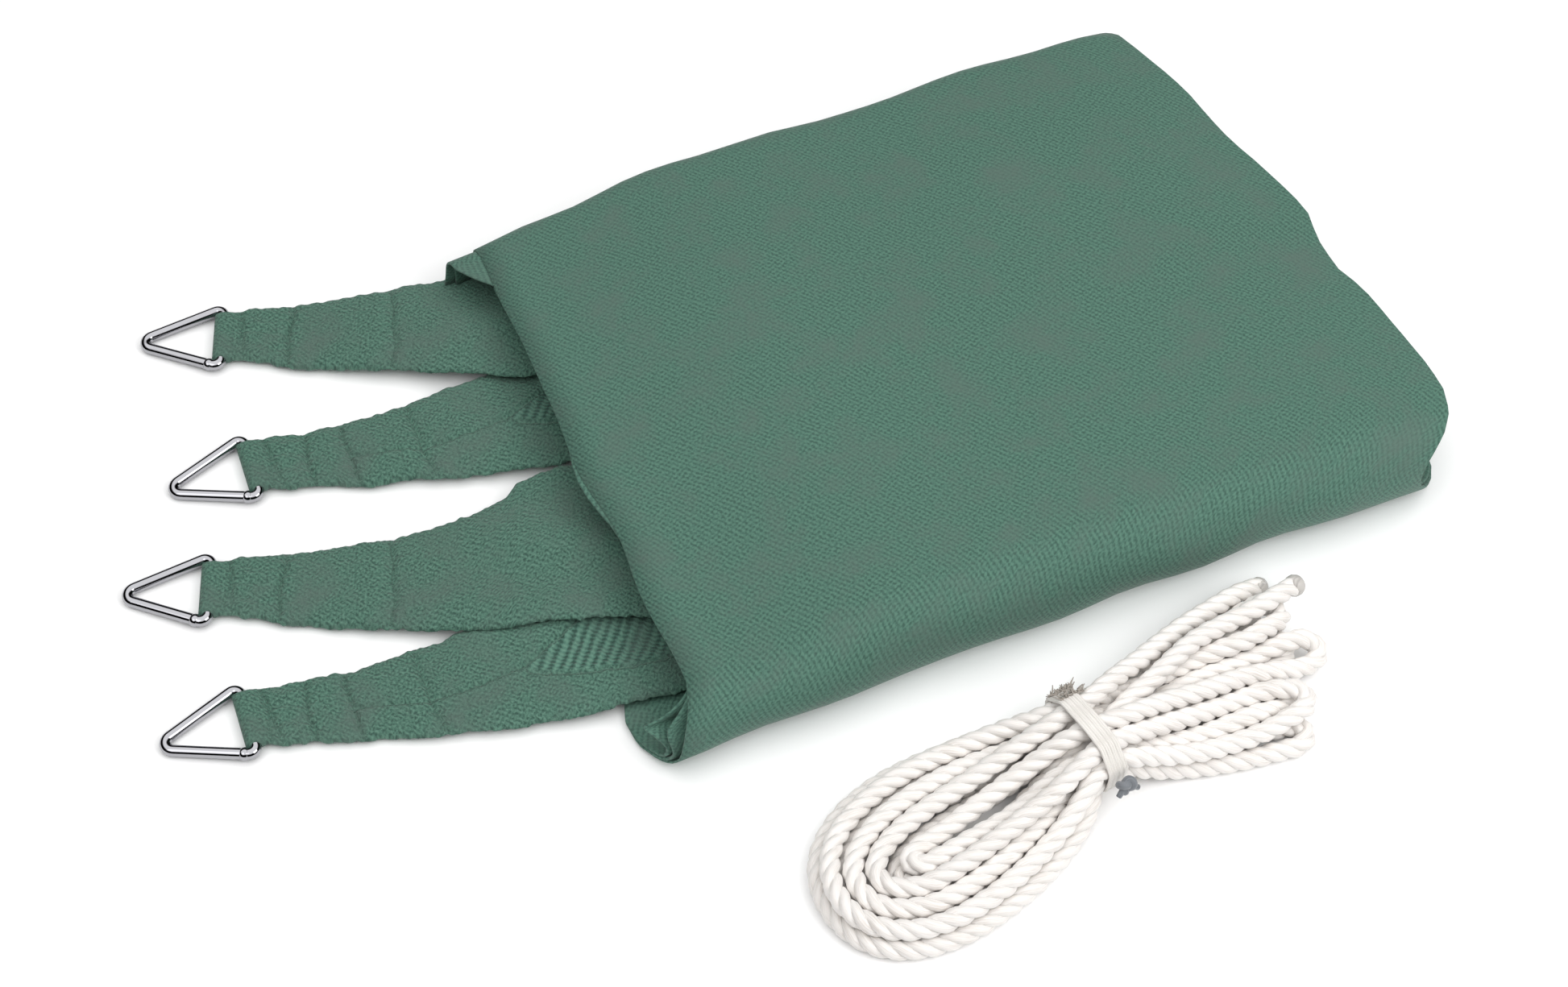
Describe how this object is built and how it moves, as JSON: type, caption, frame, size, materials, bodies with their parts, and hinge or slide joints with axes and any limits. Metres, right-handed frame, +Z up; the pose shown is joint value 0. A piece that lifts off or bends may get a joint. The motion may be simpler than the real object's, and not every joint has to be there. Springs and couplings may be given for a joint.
{
  "type": "folded shade sail",
  "caption": "Knitted sun shade sail folded into a flat pack, with ringed corners laid out at one end and a tied hank of hanging rope beside it.",
  "frame": {"origin": "centre of the folded pack's underside", "axes": "+X along the pack, away from its ringed corners; +Y across it, away from the rope; +Z up"},
  "size_m": [0.5728, 0.4349, 0.0461],
  "materials": {
    "shade_cloth": "knitted polyethylene tape, matte with a faint sheen",
    "corner_cloth": "the same knit, doubled and sewn",
    "ring_wire": "bright polished wire",
    "rope": "three-strand twisted polyester rope, soft sheen",
    "tie_tape": "thin white yarn wound round",
    "tie_knot": "grey twisted tie end"
  },
  "bodies": {
    "sail": {"sail_outer_wrap": "shade_cloth", "sail_inner_folds": "shade_cloth", "corner_web_1": "corner_cloth", "corner_web_2": "corner_cloth", "corner_web_3": "corner_cloth", "corner_web_4": "corner_cloth", "corner_patch_1": "corner_cloth", "corner_patch_2": "corner_cloth", "corner_patch_3": "corner_cloth", "corner_patch_4": "corner_cloth"},
    "ring_1": {"triangle_ring_1": "ring_wire"},
    "ring_2": {"triangle_ring_2": "ring_wire"},
    "ring_3": {"triangle_ring_3": "ring_wire"},
    "ring_4": {"triangle_ring_4": "ring_wire"},
    "rope": {"rope_hank": "rope", "hank_tie": "tie_tape", "tie_knot": "tie_knot"}
  },
  "joints": [
    {"name": "ring_1_swing", "type": "hinge", "parent": "sail", "child": "ring_1", "pos_m": [-0.298, 0.15184, 0.004], "axis": [0.3256, 0.9455, 0], "range_deg": [0, 110]},
    {"name": "ring_2_swing", "type": "hinge", "parent": "sail", "child": "ring_2", "pos_m": [-0.307, 0.073, 0.004], "axis": [0.0523, 0.9986, 0], "range_deg": [0, 110]},
    {"name": "ring_3_swing", "type": "hinge", "parent": "sail", "child": "ring_3", "pos_m": [-0.3425, 0.0146, 0.004], "axis": [0.3256, 0.9455, 0], "range_deg": [0, 110]},
    {"name": "ring_4_swing", "type": "hinge", "parent": "sail", "child": "ring_4", "pos_m": [-0.346, -0.05694, 0.004], "axis": [0.0523, 0.9986, 0], "range_deg": [0, 110]},
    {"name": "rope_lift", "type": "slide", "parent": "sail", "child": "rope", "axis": [0, 0, 1], "range_m": [0, 0.12]}
  ]
}
